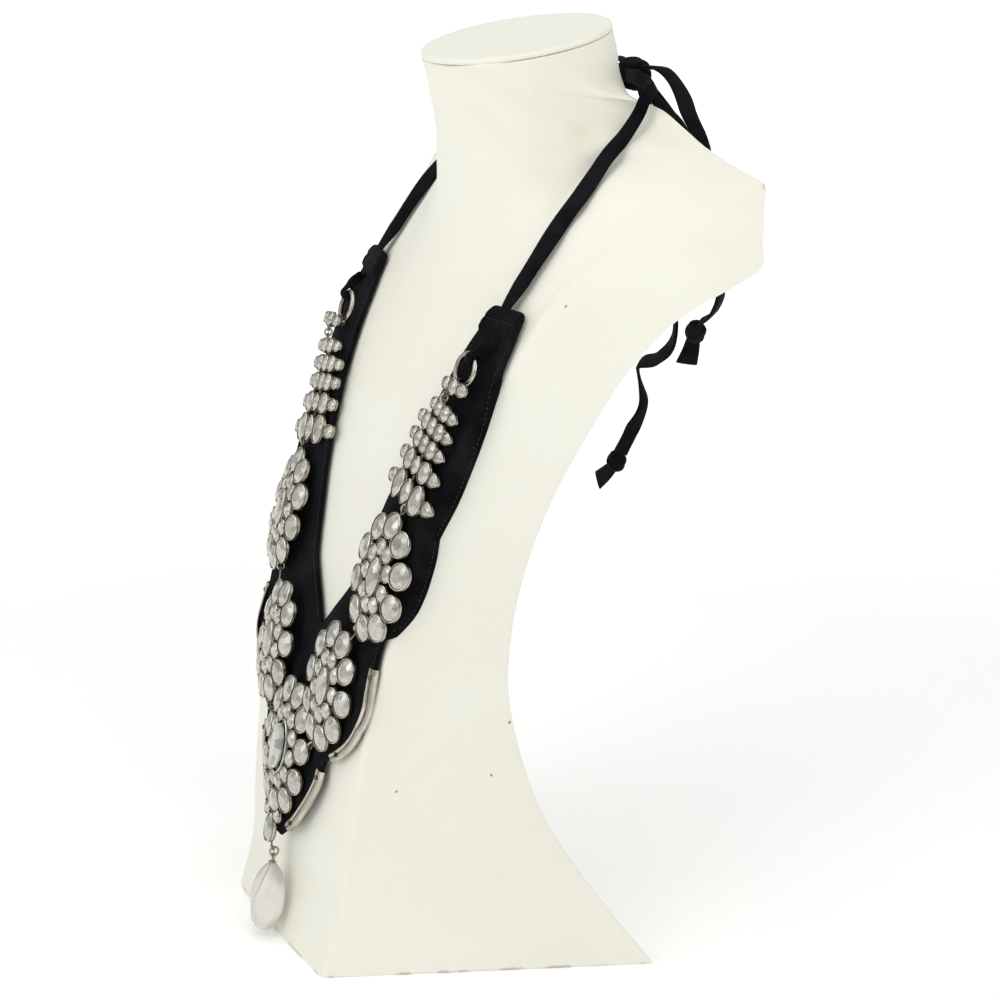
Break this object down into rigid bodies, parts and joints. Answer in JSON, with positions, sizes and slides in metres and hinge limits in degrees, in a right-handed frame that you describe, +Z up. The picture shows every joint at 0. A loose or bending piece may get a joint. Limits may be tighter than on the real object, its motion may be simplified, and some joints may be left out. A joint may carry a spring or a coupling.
{
  "type": "velvet choker necklace on neck bust",
  "caption": "V-shaped velvet bib choker with oval stone motifs, silver edge channels and a hanging crystal drop, tied with ribbon round a leatherette neck bust.",
  "frame": {"origin": "centre of the underside of the bust's foot", "axes": "+Z up, -Y towards the necklace's front, +X towards the wearer's left"},
  "size_m": [0.3212, 0.2313, 0.4573],
  "materials": {
    "bust_cover": "ivory leatherette, softly wrinkled",
    "velvet": "near-black velvet",
    "silver": "antique silver, softly polished",
    "crystal": "milky clear faceted crystal"
  },
  "bodies": {
    "bust_and_necklace": {"big_ring_left": "silver", "big_ring_right": "silver", "bow_knot": "velvet", "bow_loop_left": "velvet", "bow_loop_right": "velvet", "centre_crystal": "crystal", "centre_motif": "silver", "drop_ring": "silver", "link_ring_a_left": "silver", "link_ring_a_right": "silver", "link_ring_b_left": "silver", "link_ring_b_right": "silver", "link_ring_c_left": "silver", "link_ring_c_right": "silver", "link_ring_d_left": "silver", "link_ring_d_right": "silver", "lower_channel_left": "silver", "lower_channel_right": "silver", "lower_rosette_left": "silver", "lower_rosette_right": "silver", "neck_bust": "bust_cover", "neck_cap": "bust_cover", "row_motif_left": "silver", "row_motif_right": "silver", "stone_link_left": "silver", "stone_link_right": "silver", "strap_left": "velvet", "strap_right": "velvet", "tail_knot_left": "velvet", "tail_knot_right": "velvet", "tail_left": "velvet", "tail_right": "velvet", "upper_channel_left": "silver", "upper_channel_right": "silver", "upper_rosette_left": "silver", "upper_rosette_right": "silver", "velvet_bib": "velvet", "velvet_loop_left": "velvet", "velvet_loop_right": "velvet"},
    "drop": {"crystal_drop": "crystal", "drop_eye": "silver"}
  },
  "joints": [
    {"name": "drop_swing", "type": "hinge", "parent": "bust_and_necklace", "child": "drop", "pos_m": [0, -0.0755, 0.0451], "axis": [-1, 0, 0], "range_deg": [0, 55]}
  ]
}
